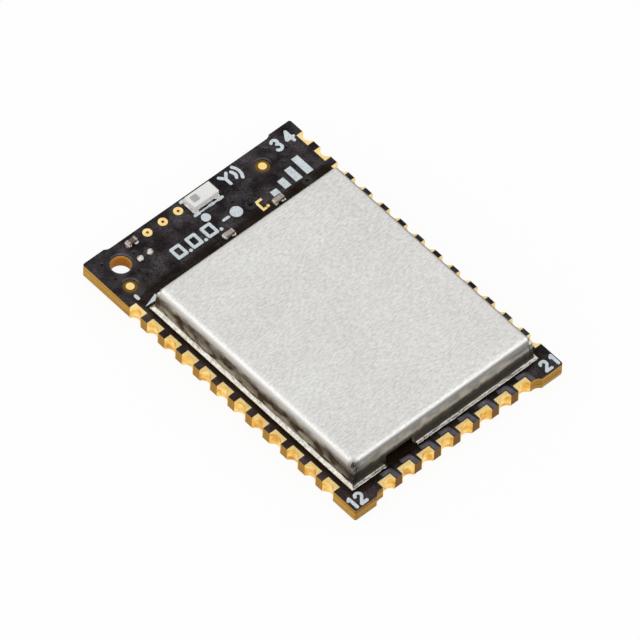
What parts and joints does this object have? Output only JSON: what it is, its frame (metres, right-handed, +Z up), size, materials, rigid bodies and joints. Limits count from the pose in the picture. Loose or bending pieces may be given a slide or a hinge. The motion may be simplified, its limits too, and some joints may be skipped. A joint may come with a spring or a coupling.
{
  "type": "radio module",
  "caption": "Surface-mount radio module: black board with gold half-hole pads on three edges, a soldered metal shield can and a white chip antenna.",
  "frame": {"origin": "middle of the board on its solder side, where it rests", "axes": "+X across the board to the longer pad row, +Y along it to the antenna end, +Z up out of the can's top"},
  "size_m": [0.0136, 0.0198, 0.0025],
  "materials": {
    "laminate": "glass laminate, cut edge",
    "solder_mask": "satin black",
    "gold_plating": "gold plated",
    "antenna_ceramic": "matte white",
    "tinned_terminals": "satin tin",
    "chip_ceramic": "matte",
    "solder": "bright solder",
    "can_sheet": "brushed, tin plated",
    "moulding": "matte black"
  },
  "bodies": {
    "root": {"board_laminate": "laminate", "top_solder_mask": "solder_mask", "bottom_solder_mask": "solder_mask", "left_edge_pads": "gold_plating", "right_edge_pads": "gold_plating", "end_edge_pads": "gold_plating", "fiducials": "gold_plating", "test_points": "gold_plating", "shield_land": "gold_plating", "feed_land": "gold_plating", "antenna_lands": "gold_plating", "chip_lands": "gold_plating", "spare_lands": "gold_plating", "inner_lands": "gold_plating", "antenna_body": "antenna_ceramic", "antenna_terminals": "tinned_terminals", "outer_chip_terminals": "tinned_terminals", "radio_chip_leads": "tinned_terminals", "front_end_chip_leads": "tinned_terminals", "rf_filter_terminals": "tinned_terminals", "power_inductor_terminals": "tinned_terminals", "capacitor_terminals": "tinned_terminals", "resistor_terminals": "tinned_terminals", "outer_chip_bodies": "chip_ceramic", "capacitor_bodies": "chip_ceramic", "crystal_base": "chip_ceramic", "sleep_crystal_base": "chip_ceramic", "rf_filter_body": "chip_ceramic", "outer_chip_solder": "solder", "spare_land_solder": "solder", "shield_solder": "solder", "shield_can": "can_sheet", "crystal_lid": "can_sheet", "sleep_crystal_lid": "can_sheet", "radio_chip_body": "moulding", "front_end_chip_body": "moulding", "power_inductor_core": "moulding", "resistor_bodies": "moulding"}
  },
  "joints": []
}
